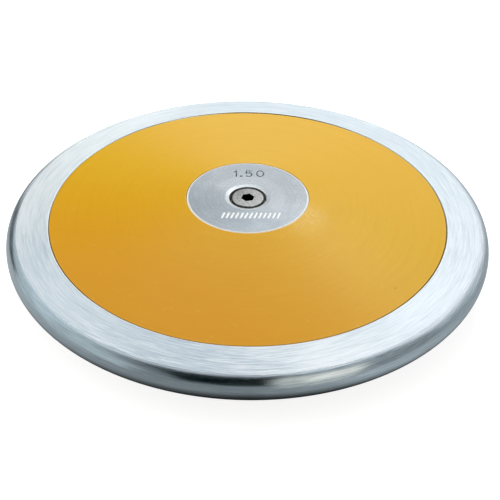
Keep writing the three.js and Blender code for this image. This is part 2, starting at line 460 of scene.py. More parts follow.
def speck_group():
    """Small separate spots: Voronoi cells whose centre is near, kept only where the cell's random colour is
    below the share to keep."""
    group, given = new_group("Specks", {"Scale": 90.0, "Radius": 0.06, "Keep": 0.08}, ("Mask",))
    cells = put("ShaderNodeTexVoronoi", {"Vector": spot_on(group), "Scale": given["Scale"]})
    chance = parts_of(cells["Color"])[0]
    near = cells["Distance"].ramp(0.0, given["Radius"], 1.0, 0.0)
    put("NodeGroupOutput", {"Mask": calc("LESS_THAN", chance, given["Keep"]) * near})
    return group


def rub_and_highlight_group():
    """Wear with a painted highlight on an edge: the piece's own mark, broken up by noise, so that the worn,
    bright line comes and goes.
    """
    group, given = new_group("Edge rub", {"Mark": 0.0, "Breakup": 0.5, "Scale": 900.0}, ("Mask",))
    broken = noise(spot_on(group), given["Scale"], 3.0) * given["Breakup"]
    put("NodeGroupOutput", {"Mask": (given["Mark"] - broken).ramp(0.0, 0.4)})
    return group


GRAIN = grain_group()
SCRATCHES = scratch_group()
SPECKS = speck_group()
RUB_AND_HIGHLIGHT = rub_and_highlight_group()


def rub_and_highlight_mask(tree, breakup):
    return place(tree, RUB_AND_HIGHLIGHT, Mark=mark_of(tree, "rub_and_highlight"), Breakup=breakup)["Mask"]


def new_material(name, **shader):
    """A material with its Principled shader, whose plain values are set on the shader's own sockets."""
    material = bpy.data.materials.new(name)
    material.use_nodes = True
    tree = material.node_tree
    for label, value in shader.items():
        tree.nodes["Principled BSDF"].inputs[label.replace("_", " ")].default_value = value
    return material, tree


def fed(material, colour, rough, height, bump, metal=None):
    """The material with its looks linked to the shader. A height of 1 stands for the bump in metres."""
    tree = material.node_tree
    normal = put("ShaderNodeBump", {"Height": height, "Distance": bump})[0]
    looks = {"Base Color": colour, "Roughness": rough, "Normal": normal, "Metallic": metal}
    for label, wire in looks.items():
        if wire is not None:
            tree.links.new(wire.socket, tree.nodes["Principled BSDF"].inputs[label])
    return material


# The rim's looks by place. Towards the front the brushing bites deepest. Painted light makes the zinc palest
# towards the back left and brighter to the right, and painted shade darkens it to the left. The spans are
# distances from the axis in these directions, and to the right.
FRONT = (-0.17, -0.985, 0.0)
BACK_LEFT = (-0.848, 0.53, 0.0)
COARSE_SPAN = (74 * MM, 90 * MM)
FURROWED_SPAN = (60 * MM, 90 * MM)
SIDE_LIGHT_SPAN = (55 * MM, 85 * MM)
LEFT_SHADE_SPAN = (-62 * MM, -34 * MM)
RIGHT_LIGHT_SPAN = (-26 * MM, 32 * MM)
BACK_LIGHT_SPAN = (60 * MM, 90 * MM)

ZINC_DARK = linear(191, 204, 217)
ZINC_PALE = linear(245, 248, 253)
ZINC_CLOUDED = linear(196, 207, 217)
ZINC_FURROWED = linear(150, 160, 170)
ZINC_RUBBED_HIGHLIGHT = linear(250, 252, 255)
EDGE_DARK = linear(186, 195, 201)
EDGE_PALE = linear(216, 223, 229)
SPECK_GREY = linear(120, 124, 128)


def rim_steel():
    """Zinc-bright steel. The tapered faces are brushed, and the round edge is polished smoother.

    The brushing runs round the axis, so the anisotropic gloss is turned by a quarter, to spread across it.
    At the front it is coarse and furrowed. Painted shade darkens it to the left, and painted light makes it
    brighter to the right and paler towards the back left.
    """
    material, tree = new_material("rim_steel", Anisotropic=0.8, Anisotropic_Rotation=0.25)
    grain = place(tree, GRAIN, Breaks=8.0, Strands=3300.0, Weave=0.35 * MM)
    polish = mark_of(tree, "polish")
    rub_and_highlight = rub_and_highlight_mask(tree, 0.6)
    specks = place(tree, SPECKS, Scale=160.0, Radius=0.09, Keep=0.05)["Mask"]
    streaks = grain["Fine"].ramp(0.33, 0.67)
    spot = spot_on(tree)
    aside = parts_of(spot)[0]
    front = measured("DOT_PRODUCT", spot, FRONT)
    back = measured("DOT_PRODUCT", spot, BACK_LEFT)

    brushing = (grain["Fine"] - 0.5) * front.ramp(*COARSE_SPAN, 1.7, 5.0)
    # Painted shade darkens the zinc to the left, and painted light brightens it to the right and towards the
    # back left
    painted_side_light = aside.ramp(*LEFT_SHADE_SPAN, 0.04, -0.17) + aside.ramp(*RIGHT_LIGHT_SPAN, 0.0, 0.42)
    tone = brushing + (painted_side_light * front.ramp(*SIDE_LIGHT_SPAN) + back.ramp(*BACK_LIGHT_SPAN, 0.0, 0.4))
    furrows = grain["Broad"].ramp(0.59, 0.66) * front.ramp(*FURROWED_SPAN, 0.45, 1.0)

    zinc = mixed(tone.ramp(-0.5, 0.5), ZINC_DARK, ZINC_PALE)
    zinc = mixed(grain["Broad"].ramp(0.42, 0.7, 0.0, 0.35), zinc, ZINC_CLOUDED)
    zinc = mixed(furrows * 0.2, zinc, ZINC_FURROWED)
    zinc = mixed(polish, zinc, mixed(streaks, EDGE_DARK, EDGE_PALE))
    zinc = mixed(specks, zinc, SPECK_GREY)
    # The worn corner is near-white: partly wear, partly a painted highlight
    zinc = mixed(rub_and_highlight * 0.6, zinc, ZINC_RUBBED_HIGHLIGHT)

    metal = between(rub_and_highlight, between(polish, 0.5, 1.0), 0.2)
    rough = between(polish, streaks.ramp(0.0, 1.0, 0.3, 0.42), streaks.ramp(0.0, 1.0, 0.14, 0.22))
    rough = between(rub_and_highlight, rough, 0.55)
    height = (furrows * -0.5 + grain["Height"]) * between(polish, 1.0, 0.1)
    return fed(material, zinc, rough, height, bump=0.09 * MM, metal=metal)


# Painted light turns the gold from orange to yellow along a direction. Round a spot by the centre plate it
# bears scuffs, on a soft pale patch of painted glare
LIT_YELLOWER_SIDE = (0.55, 0.83, 0.0)
PAINTED_HUE_SPAN = (-65 * MM, 25 * MM)
HUE_WANDER = 20 * MM
SCUFF_AND_GLARE_SPOT = (23 * MM, -13 * MM, 18 * MM)
SCUFF_AND_GLARE_REACH = (3 * MM, 14 * MM)

GOLD_ORANGE = linear(214, 147, 3)
GOLD_LIT_YELLOW = linear(215, 164, 4)
GOLD_FLOWED = linear(206, 143, 3)
GOLD_SCUFF_AND_GLARE = linear(250, 232, 180)
GOLD_SCRATCHED = linear(240, 205, 120)
GOLD_RUBBED_LIGHT = linear(236, 190, 90)
SPECK_BROWN = linear(120, 78, 20)


def gold_plastic():
    """Satin gold plastic with a slight orange-peel, fine scuffs, a few specks and paler worn edges. Painted
    light makes it yellower towards one side and lays a glare by the centre plate, and the worn edges carry
    painted light too.
    """
    material, tree = new_material("gold_plastic", IOR=1.41)
    spot = spot_on(tree)
    drift = noise(spot, scale=26.0, detail=2.0)
    peel = noise(spot, scale=900.0, detail=2.0)
    flow = place(tree, GRAIN, Breaks=2.0, Strands=600.0)["Fine"]
    scratches = place(tree, SCRATCHES, Scale=150.0, Stretch=16.0, Amount=0.35)["Mask"]
    scuffs = place(tree, SCRATCHES, Scale=210.0, Stretch=9.0, Amount=1.0)["Mask"]
    specks = place(tree, SPECKS, Scale=70.0, Radius=0.05, Keep=0.03)["Mask"]
    rub_and_highlight = rub_and_highlight_mask(tree, 0.5)

    # A random wander, plus painted light that makes the gold yellower towards one side
    hue_wander_and_painted_light = drift * HUE_WANDER + measured("DOT_PRODUCT", spot, LIT_YELLOWER_SIDE)
    scuff_and_glare = measured("DISTANCE", spot, SCUFF_AND_GLARE_SPOT).ramp(*SCUFF_AND_GLARE_REACH, 1.0, 0.0)
    gold = mixed(hue_wander_and_painted_light.ramp(*PAINTED_HUE_SPAN), GOLD_ORANGE, GOLD_LIT_YELLOW)
    gold = mixed(flow.ramp(0.3, 0.7, 0.0, 0.25), gold, GOLD_FLOWED)
    # Real scuffs on a soft pale patch that paints the glare round the spot
    gold = mixed((scuffs * 0.14 + 0.07) * scuff_and_glare, gold, GOLD_SCUFF_AND_GLARE)
    gold = mixed(scratches * 0.35, gold, GOLD_SCRATCHED)
    gold = mixed(specks * 0.7, gold, SPECK_BROWN)
    # Paler worn edges: partly wear, partly painted light that lifts the shaded seam
    gold = mixed(rub_and_highlight * 0.5, gold, GOLD_RUBBED_LIGHT)
    rough = between(scratches, drift.ramp(0.3, 0.7, 0.277, 0.289), 0.5)
    return fed(material, gold, rough, peel, bump=0.0015 * MM)


# A painted sheen makes the face of the centre plate paler towards one side, and more so near the counterbore
SHEEN_SIDE = (0.5, 0.87, 0.0)
SHEEN_SPAN = (-13 * MM, 9 * MM)
INNER_SHEEN_SPAN = (-5 * MM, 3 * MM)
INNER_SHEEN_RADII = (14 * MM, 17 * MM)

TURNED_DARK = linear(195, 203, 208)
TURNED_PALE = linear(222, 228, 233)
TURNED_CLOUDED = linear(240, 244, 246)
TURNED_SPECKLED = linear(180, 189, 195)
BARE_METAL_AND_HIGHLIGHT = linear(252, 252, 252)
WHITE = linear(255, 255, 255)
STAMP_DIRT_AND_SHADE = linear(52, 48, 42)


def turned_aluminium():
    """Faced on a lathe: close rings, worn edges with a painted highlight, grime and painted shade in the
    number, painted shade down the counterbore, bare metal in the ticks, and a painted sheen towards one
    side.
    """
    material, tree = new_material("turned_aluminium", Anisotropic=0.6, Anisotropic_Rotation=0.25)
    grain = place(tree, GRAIN, Breaks=2.5, Strands=3600.0)
    spot = spot_on(tree)
    cloud = noise(spot, scale=170.0, detail=4.0)
    speckle = noise(spot, scale=1500.0, detail=1.0)
    rub_and_highlight = rub_and_highlight_mask(tree, 0.15)
    bright = mark_of(tree, "bright")
    dirt_and_shade = mark_of(tree, "dirt_and_shade")
    rings = grain["Fine"].ramp(0.33, 0.67)
    radius = measured("LENGTH", without_height(spot))
    aside = measured("DOT_PRODUCT", spot, SHEEN_SIDE)

    # Painted sheen: white mixed in towards one side, and more of it near the counterbore
    inner = radius.ramp(*INNER_SHEEN_RADII, 0.32, 0.0) * aside.ramp(*INNER_SHEEN_SPAN)
    metal = mixed(rings, TURNED_DARK, TURNED_PALE)
    metal = mixed(inner + aside.ramp(*SHEEN_SPAN, 0.0, 0.2), metal, WHITE)
    metal = mixed(cloud.ramp(0.42, 0.75, 0.0, 0.35), metal, TURNED_CLOUDED)
    metal = mixed(speckle.ramp(0.35, 0.7, 0.0, 0.4), metal, TURNED_SPECKLED)
    # Worn edges of bare metal, partly a painted highlight on the flange and the bevel
    metal = mixed(rub_and_highlight, metal, BARE_METAL_AND_HIGHLIGHT)
    metal = mixed(bright, metal, BARE_METAL_AND_HIGHLIGHT)
    # Dirt and painted shade in the stamped number, and painted shade down the counterbore
    metal = mixed(dirt_and_shade * speckle.ramp(0.35, 0.6, 0.55, 1.0), metal, STAMP_DIRT_AND_SHADE)

    worn = calc("MAXIMUM", rub_and_highlight, bright)
    rough = between(worn, rings.ramp(0.0, 1.0, 0.28, 0.34), 0.6)
    rough = between(dirt_and_shade, rough, 0.8)
    shine = worn.ramp(0.0, 1.0, 1.0, 0.3)
    return fed(material, metal, rough, grain["Height"], bump=0.009 * MM, metal=shine)


# Painted light makes the bolt's head a little paler towards one side
HEAD_LIT_SIDE = (0.77, -0.64, 0.0)
HEAD_LIT_SPAN = (-6 * MM, 6 * MM)

SATIN_DARK = linear(158, 157, 154)
SATIN_PALE = linear(234, 233, 229)
SOCKET_SHADE = linear(16, 16, 17)


def bolt_steel():
    """Plain satin steel, mottled, with painted light on one side of the head and painted shade down in the
    key socket.
    """
    material, tree = new_material("bolt_steel", Metallic=1.0, Anisotropic=0.3)
    grain = place(tree, GRAIN, Breaks=2.0, Strands=5200.0)
    spot = spot_on(tree)
    dirt_and_shade = mark_of(tree, "dirt_and_shade")
    aside = measured("DOT_PRODUCT", spot, HEAD_LIT_SIDE)
    # Random mottle, plus painted light towards one side
    mottle_and_painted_light = noise(spot, scale=1400.0, detail=3.0) + aside.ramp(*HEAD_LIT_SPAN, -0.12, 0.12)
    tone = grain["Fine"] * 0.3 + (mottle_and_painted_light - 0.15)
    steel = mixed(tone.ramp(0.1, 0.9), SATIN_DARK, SATIN_PALE)
    # Painted shade, near-black down in the key socket
    steel = mixed(dirt_and_shade, steel, SOCKET_SHADE)
    rough = between(dirt_and_shade, grain["Fine"].ramp(0.3, 0.7, 0.3, 0.42), 0.75)
    return fed(material, steel, rough, grain["Height"], bump=0.006 * MM)


SHEET_GREY = linear(140, 136, 130)
SHEET_BROWN = linear(112, 96, 78)


def plain_steel():
    """Pressed sheet steel for the washers, shims and ballast, dull, with a little brown staining."""
    material, tree = new_material("plain_steel", Metallic=1.0)
    cloud = noise(spot_on(tree), scale=220.0, detail=5.0)
    steel = mixed(cloud.ramp(0.35, 0.7), SHEET_GREY, SHEET_BROWN)
    return fed(material, steel, cloud.ramp(0.3, 0.7, 0.4, 0.6), cloud, bump=0.01 * MM)


RUBBER_DARK = linear(20, 20, 21)
RUBBER_PALE = linear(38, 38, 39)


def seal_rubber():
    """Matt black rubber, a little uneven in colour and gloss."""
    material, tree = new_material("seal_rubber")
    cloud = noise(spot_on(tree), scale=700.0, detail=3.0)
    black = mixed(cloud, RUBBER_DARK, RUBBER_PALE)
    return fed(material, black, cloud.ramp(0.3, 0.7, 0.7, 0.9), cloud, bump=0.01 * MM)


# The rim

# Half the angle over which the side of a lug or of a notch rises
WINDOW_EASE = 0.05 * DEGREE


def swept_with_lugs(outline, carried, width, at_radius, growth):
    """Turns an outline about Z, and multiplies the radius of its carried points by growth in four windows.

    The windows are spaced evenly from angle 0, and have the given width at a radius. The angles are even,
    with a close pair added at each side of each window.
    """
    half = width / 2 / at_radius
    offsets = (-half - WINDOW_EASE, -half + WINDOW_EASE, half - WINDOW_EASE, half + WINDOW_EASE)
    sides = [even_angles(LUG_COUNT) + offset for offset in offsets]
    angles = np.concatenate([even_angles(TURN_STEPS), *sides])
    angles = np.unique(np.mod(angles, 2 * math.pi).round(9))
    spacing = 2 * math.pi / LUG_COUNT
    inside = np.abs(np.mod(angles + spacing / 2, spacing) - spacing / 2) < half
    rows = swept(outline, angles)
    rows[..., :2] *= (1 + carried * inside * (growth - 1))[..., None]
    return rows


def steel_rim(material):
    """The round edge is an arc. The rest is a chain of corners, mirrored below the middle plane.

    Where a point lies on the tongue's bore, a notch for each lug carries it outwards. The round edge, the
    shoulder and its chamfer are marked as polished, and the corner just outside the chamfer as worn, a mark
    that also paints a highlight line there.
    """
    reach = np.linspace(-1, 1, EDGE_STEPS) * (math.pi / 2 - TAPER)
    edge = np.stack([EDGE_CENTRE + EDGE_RADIUS * np.cos(reach), EDGE_RADIUS * np.sin(reach)], axis=1)
    chamfer_start = SHOULDER_RADIUS + SHOULDER_CHAMFER
    upper = [
        [chamfer_start, skin_height(chamfer_start)],
        [SHOULDER_RADIUS, skin_height(SHOULDER_RADIUS) - SHOULDER_CHAMFER],
        [SHOULDER_RADIUS, TONGUE_TOP],
        [GROOVE_OUTER, TONGUE_TOP],
        [GROOVE_OUTER, GROOVE_FLOOR],
        [GROOVE_INNER, GROOVE_FLOOR],
        [GROOVE_INNER, TONGUE_TOP],
        [TONGUE_BORE, TONGUE_TOP],
    ]
    lower = [[radius, -height] for radius, height in reversed(upper)]
    inside = softened([edge[-1], *upper, *lower, edge[0]], ease=RIM_EASE)[1:-1]
    outline = guarded(np.concatenate([edge, inside]))
    radius = outline[:, :1]
    at_bore = radius < TONGUE_BORE + RIM_EASE + FINE_GAP
    rows = swept_with_lugs(outline, at_bore, NOTCH_WIDTH, TONGUE_BORE, growth=NOTCH_RADIUS / TONGUE_BORE)
    worn_radius = chamfer_start + WORN_CORNER
    edges = [[worn_radius, side * skin_height(worn_radius)] for side in (-1, 1)]
    round_edge = radius > EDGE_CENTRE + EDGE_RADIUS * math.sin(POLISH_FROM)
    shoulder = radius < chamfer_start + FINE_GAP
    marks = {"rub_and_highlight": nearness(outline, edges, RUB_AND_HIGHLIGHT_REACH), "polish": round_edge | shoulder}
    piece = skin("steel_rim", rows, marks)
    dress(piece, "rim", material)


# The side plates

def rib_shells():
    """The ribs as slabs under the skin: for each, eight corners at two radii, two heights and two sides."""
    inner = CUP_RADIUS - SKIN_WALL / 2
    outer = (SKIRT_INNER + SKIRT_OUTER) / 2
    section = ((inner, -RIB_DEPTH), (outer, -RIB_DEPTH), (outer, SKIN_WALL / 2), (inner, SKIN_WALL / 2))
    slab = np.array([
        [radius, side * RIB_THICKNESS / 2, skin_underside(radius) + lift]
        for side in (-1, 1)
        for radius, lift in section
    ])
    turns = even_angles(RIB_COUNT)[:, None]
    x = slab[:, 0] * np.cos(turns) - slab[:, 1] * np.sin(turns)
    y = slab[:, 0] * np.sin(turns) + slab[:, 1] * np.cos(turns)
    return np.stack([x, y, np.broadcast_to(slab[:, 2], x.shape)], axis=-1)


def join_ribs(piece, over):
    """Adds the ribs to a side plate's mesh as closed slabs sunk into its wall."""
    corners = rib_shells()
    if over:
        corners = turned_over(corners)
    sides = [(0, 1, 2, 3), (7, 6, 5, 4), (0, 4, 5, 1), (1, 5, 6, 2), (2, 6, 7, 3), (3, 7, 4, 0)]
    first = corners.shape[1] * np.arange(RIB_COUNT)
    faces = (first[:, None, None] + sides).reshape(-1, 4).tolist()
    mesh = bpy.data.meshes.new("ribs")
    mesh.from_pydata(corners.reshape(-1, 3).tolist(), [], faces)
    ribs = shown("ribs", mesh)
    with bpy.context.temp_override(active_object=piece, selected_editable_objects=[piece, ribs]):
        bpy.ops.object.join()


def gold_side_plate(node, material, over):
    """The skin, the skirt inside the rim and the cup round the centre plate, as one outline turned round.

    Where the outline follows the skirt's outer wall, four lugs carry it outwards into the rim's notches. Its
    outer edge and the edge of its recess are marked as worn, a mark that is partly wear and partly painted
    light.
    """
    outer_edge = [SIDE_PLATE_RADIUS, skin_height(SIDE_PLATE_RADIUS) - SKIN_SINK]
    recess_edge = [RECESS_RADIUS, skin_height(RECESS_RADIUS)]
    corners = [
        [HUB_HOLE_RADIUS, RECESS_FLOOR],
        [HUB_HOLE_RADIUS, FLOOR_UNDERSIDE],
        [RECESS_RADIUS, FLOOR_UNDERSIDE],
        [RECESS_RADIUS, STACK_TOP],
        [CUP_RADIUS, STACK_TOP],
        [CUP_RADIUS, skin_underside(CUP_RADIUS)],
        [SKIRT_INNER, skin_underside(SKIRT_INNER)],
        [SKIRT_INNER, SKIRT_FOOT],
        [SKIRT_OUTER, SKIRT_FOOT],
        [SKIRT_OUTER, TONGUE_TOP],
        [SIDE_PLATE_RADIUS, TONGUE_TOP],
        outer_edge,
        recess_edge,
        [RECESS_RADIUS, RECESS_FLOOR],
    ]
    outline = guarded(softened_loop(corners, SIDE_PLATE_EASE))
    radius = outline[:, :1]
    on_wall = (np.abs(radius - SKIRT_OUTER) < FINE_GAP) & (outline[:, 1:] < TONGUE_TOP - FINE_GAP)
    rows = swept_with_lugs(outline, on_wall, LUG_WIDTH, LUG_RADIUS, growth=LUG_RADIUS / SKIRT_OUTER)
    marks = {"rub_and_highlight": nearness(outline, [outer_edge, recess_edge], RUB_AND_HIGHLIGHT_REACH)}
    piece = skin("gold_" + node, rows, marks, over)
    join_ribs(piece, over)
    dress(piece, node, material)


# The centre plates

STROKE_WIDTH = 0.5 * MM
STAMP_DEPTH = 0.22 * MM
DIGIT_HEIGHT = 4.2 * MM
NUMBER_MIDDLE = 17.2 * MM
TICKS_MIDDLE = -13 * MM
TICK_HEIGHT = 3.4 * MM
TICK_LEAN = 1.1 * MM
TICK_COUNT = 13
TICKS_FROM = -10 * MM
TICKS_TO = 12.6 * MM
TICK_WIDTH = 0.72 * MM
TICK_DEPTH = 0.12 * MM
RINGS_FROM = 21 * MM
RINGS_TO = 9.9 * MM
RING_STEP = 0.13 * MM

# How far the plate's corners are eased, from the edge of its bevel round to the edge of its face
PLATE_EASES = np.array([0.3, 0.12, 0.12] + 6 * [0.15] + [0.12]) * MM

# Marks: worn metal with a painted highlight on the flange's edge and on the bevel, dirt and painted shade in
# the number, and painted shade down the counterbore
FLANGE_RUB_AND_HIGHLIGHT_REACH = 0.36 * MM
BEVEL_RUB_AND_HIGHLIGHT = 0.2
BEVEL_MARGIN = 0.1 * MM
NUMBER_DIRT_AND_SHADE = 0.9
DEEP_SHADE = 0.6
SHADE_FROM = 1.2 * MM
SHADE_RISE = 1.5 * MM


def arc_strokes(centre, radii, start, stop, pieces=9):
    """A stretch of an ellipse as short straight strokes: points at centre + radii (cos a, sin a)."""
    angle = np.linspace(start, stop, pieces + 1)
    points = np.stack([np.cos(angle), np.sin(angle)], axis=1) * radii + centre
    return np.concatenate([points[:-1], points[1:]], axis=1)


def number_strokes():
    """The digits 1.50 as strokes [x0, y0, x1, y1]. The straight ones are written in millimetres."""
    one = [[-4.7, -2.1, -4.7, 2.1], [-4.7, 2.1, -5.7, 1.2]]
    dot = [[-3.0, -1.75, -2.4, -1.75], [-3.0, -2.1, -2.4, -2.1]]
    five = [[1.75, 2.1, -0.45, 2.15], [-0.45, 2.15, -0.6, 0.35]]
    bowl = arc_strokes((0.45 * MM, -0.68 * MM), (1.35 * MM, 1.4 * MM), 140 * DEGREE, -135 * DEGREE)
    nought = arc_strokes((5.3 * MM, 0.05 * MM), (1.4 * MM, DIGIT_HEIGHT / 2), 0, 2 * math.pi, pieces=16)
    strokes = np.concatenate([np.array(one + dot + five) * MM, bowl, nought])
    return strokes + (0, NUMBER_MIDDLE, 0, NUMBER_MIDDLE)


def tick_strokes():
    """A row of plain leaning ticks."""
    x = np.linspace(TICKS_FROM, TICKS_TO, TICK_COUNT)
    low = np.full(TICK_COUNT, TICKS_MIDDLE - TICK_HEIGHT / 2)
    return np.stack([x - TICK_LEAN / 2, low, x + TICK_LEAN / 2, low + TICK_HEIGHT], axis=1)


def pressed(rows, strokes, width, softness=0.14 * MM):
    """How far a punch reaches at each point: 1 near a stroke's middle line, and 0 beyond half its width.

    The distance to a stroke from A to B is |P - A - t (B - A)|, where t is the share of the way along, held
    in 0..1. The step from 1 to 0 is as wide as the softness.
    """
    points = rows[..., :2].reshape(-1, 2)
    nearest = np.full(len(points), np.inf)
    for stroke in strokes:
        start = stroke[:2]
        way = stroke[2:] - start
        share = np.clip((points - start) @ way / (way @ way), 0, 1)
        nearest = np.minimum(nearest, np.linalg.norm(points - start - share[:, None] * way, axis=1))
    return smooth(width / 2 - nearest, -softness / 2, softness / 2).reshape(rows.shape[:2])


def plate_angles():
    """Angles that crowd together under the number and the ticks. Spans are from, to and step, in degrees."""
    spans = ((0, 64, 1.5), (64, 116, 0.4), (116, 222, 1.5), (222, 319, 0.45), (319.5, 360, 1.5))
    return np.concatenate([np.arange(*span) for span in spans]) * DEGREE


def turned_centre_plate(node, material, over):
    """Flange, spigot, bore, counterbore and bevel as one outline. The top is close rings, which the stamped
    strokes lower: height = face - depth x reach of the punch."""
    bevel_edge = COUNTERBORE_RADIUS + COUNTERBORE_BEVEL
    corners = [
        [RINGS_TO, FACE_HEIGHT],
        [bevel_edge, FACE_HEIGHT],
        [COUNTERBORE_RADIUS, FACE_HEIGHT - COUNTERBORE_BEVEL_DEPTH],
        [COUNTERBORE_RADIUS, COUNTERBORE_FLOOR],
        [PLATE_BORE, COUNTERBORE_FLOOR],
        [PLATE_BORE, SPIGOT_END],
        [SPIGOT_RADIUS, SPIGOT_END],
        [SPIGOT_RADIUS, RECESS_FLOOR],
        [PLATE_RADIUS, RECESS_FLOOR],
        [PLATE_RADIUS, FACE_HEIGHT - FLANGE_BEVEL],
        [PLATE_RADIUS - FLANGE_BEVEL, FACE_HEIGHT],
        [RINGS_FROM, FACE_HEIGHT],
    ]
    rings = np.arange(RINGS_FROM - RING_STEP, RINGS_TO, -RING_STEP)
    face = np.stack([rings, np.full(len(rings), FACE_HEIGHT)], axis=1)
    outline = guarded(np.concatenate([softened(corners, PLATE_EASES), face]))
    rows = swept(outline, plate_angles())
    radius = outline[:, :1]
    height = outline[:, 1:]
    on_top = height > FACE_HEIGHT - FINE_GAP
    number = pressed(rows, number_strokes(), STROKE_WIDTH) * on_top
    ticks = pressed(rows, tick_strokes(), TICK_WIDTH) * on_top
    rows[..., 2] -= STAMP_DEPTH * number + TICK_DEPTH * ticks
    flange_edge = [PLATE_RADIUS - FLANGE_BEVEL / 2, FACE_HEIGHT - FLANGE_BEVEL / 2]
    on_bevel = (radius > COUNTERBORE_RADIUS + BEVEL_MARGIN) & (radius < bevel_edge + BEVEL_MARGIN)
    on_bevel &= height > FACE_HEIGHT - COUNTERBORE_BEVEL_DEPTH
    deep = np.clip((FACE_HEIGHT - SHADE_FROM - height) / SHADE_RISE, 0, 1)
    # The worn mark carries a painted highlight, and the dark mark is painted shade, with dirt in the number
    marks = {
        "rub_and_highlight": np.maximum(nearness(outline, [flange_edge], FLANGE_RUB_AND_HIGHLIGHT_REACH), BEVEL_RUB_AND_HIGHLIGHT * on_bevel),
        "dirt_and_shade": np.maximum(NUMBER_DIRT_AND_SHADE * number, DEEP_SHADE * deep),
        "bright": ticks,
    }
    piece = skin("turned_" + node, rows, marks, over)
    dress(piece, node, material)


# Bolt and barrel nut

FASTENER_ANGLES = even_angles(PIN_STEPS) + SOCKET_TURN
THREAD_ROWS_PER_PITCH = 10
SOCKET_CONE = 0.4 * MM
SOCKET_FLOOR_EASE = 0.05 * MM
SOCKET_CHAMFER = 0.15 * MM
BARREL_EASE = 0.2 * MM
BARREL_LIP = 1.5 * MM

# How many radii and heights lie in the socket below its chamfer, where painted shade makes it black
SOCKET_DARK = 6


def socket_chain():
    """Radii and heights from the socket's floor to the head's flat: a shallow cone, six walls and a chamfer.

    The wall of the hexagon lies at half the key width over the cosine of the angle off the nearest flat.
    """
    sector = math.pi / 3
    off = np.mod(FASTENER_ANGLES - SOCKET_TURN, sector) - sector / 2
    wall = KEY_WIDTH / 2 / np.cos(off)
    floor = HEAD_TOP - SOCKET_DEPTH
    return [
        (0, floor - SOCKET_CONE),
        (0.97 * wall, floor),
        (wall, floor + SOCKET_FLOOR_EASE),
        (wall, floor + 4 * SOCKET_FLOOR_EASE),
        (wall, HEAD_TOP - 1.5 * SOCKET_CHAMFER),
        (wall, HEAD_TOP - SOCKET_CHAMFER),
        (wall + 0.7 * SOCKET_CHAMFER, HEAD_TOP - 0.2 * SOCKET_CHAMFER),
        (wall + SOCKET_CHAMFER, HEAD_TOP),
        (wall + 1.6 * SOCKET_CHAMFER, HEAD_TOP),
    ]


def head_chain(neck):
    """From the flat of the head over its rim to the neck under it."""
    corners = [
        [0.7 * HEAD_RADIUS, HEAD_TOP],
        [HEAD_RADIUS - HEAD_BEVEL, HEAD_TOP],
        [HEAD_RADIUS, HEAD_TOP - HEAD_BEVEL],
        [HEAD_RADIUS, HEAD_UNDERSIDE],
        [neck, HEAD_UNDERSIDE],
    ]
    return softened(corners, HEAD_EASE)


def thread_chain():
    """The bolt's thread, from its top down to the bevel of the tip.

    The radius is the bolt's less the thread's depth times a triangle wave of height / pitch - angle / turn,
    which dies away at both ends.
    """
    end = BOLT_TIP + TIP_BEVEL
    count = int(THREAD_ROWS_PER_PITCH * (THREAD_TOP - end) / THREAD_PITCH)
    height = np.linspace(THREAD_TOP, end, count)[:, None]
    phase = np.mod(height / THREAD_PITCH - FASTENER_ANGLES / (2 * math.pi), 1)
    fade = np.clip(np.minimum(THREAD_TOP - height, height - end) / THREAD_PITCH, 0, 1)
    radius = BOLT_RADIUS - THREAD_DEPTH * (1 - np.abs(2 * phase - 1)) * fade
    return zip(radius, height[:, 0])


def fastener(name, node, neck, shank, material, over=False):
    """A head with a key socket, and under it a shank."""
    rows = swept([*socket_chain(), *head_chain(neck), *shank], FASTENER_ANGLES)
    marks = {"dirt_and_shade": np.arange(len(rows))[:, None] < SOCKET_DARK}
    piece = skin(name, rows, marks, over, loop=False)
    dress(piece, node, material)


def socket_bolt(material):
    """Its shank is the thread and the bevelled tip."""
    shank = [*thread_chain(), (BOLT_RADIUS - TIP_BEVEL, BOLT_TIP), (0, BOLT_TIP)]
    fastener("socket_bolt", "centre_bolt", BOLT_RADIUS, shank, material)


def socket_barrel_nut(material):
    """Made head up, as the bolt is, with the bore opening at the far end, and then turned over."""
    corners = [
        [BARREL_RADIUS, HEAD_UNDERSIDE - MM],
        [BARREL_RADIUS, -BARREL_END],
        [BARREL_BORE, -BARREL_END],
        [BARREL_BORE, BARREL_LIP - BARREL_END],
    ]
    shank = [*softened(corners, BARREL_EASE), (BARREL_BORE, BORE_END), (0, BORE_END)]
    fastener("socket_barrel_nut", "barrel_nut", BARREL_RADIUS, shank, material, over=True)


# Rings inside

def plain_ring(node, bore, material, ease=0.1 * MM):
    """A ring of rectangular section with eased edges, as high and as wide as its node."""
    low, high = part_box(node)
    corners = [[bore, low.z], [high.x, low.z], [high.x, high.z], [bore, high.z]]
    rows = swept(softened_loop(corners, ease), even_angles(TURN_STEPS // 2))
    piece = skin("turned_" + node, rows, marks={})
    dress(piece, node, material)


# Studio

# The lens is in millimetres, and its shift is a share of the picture's width
CAMERA_ELEVATION = 36.75 * DEGREE
CAMERA_ROLL = 0.27 * DEGREE
CAMERA_DISTANCE = 700 * MM
CAMERA_ASIDE = -11.35 * MM
CAMERA_RAISED = -6.5 * MM
CAMERA_LENS = 120.24
CAMERA_SHIFT = 0.06

LIGHT_COLOUR = (1.0, 0.96, 0.94, 1.0)
LIGHT_LEVEL = 0.42
FLOOR_GREY = (0.5, 0.5, 0.5, 1.0)
FLOOR_GAP = 0.05 * MM
FLOOR_SIZE = 6.0
FLOOR_GLOW = 0.84
WHITE_SPAN = (0.25, 0.6)


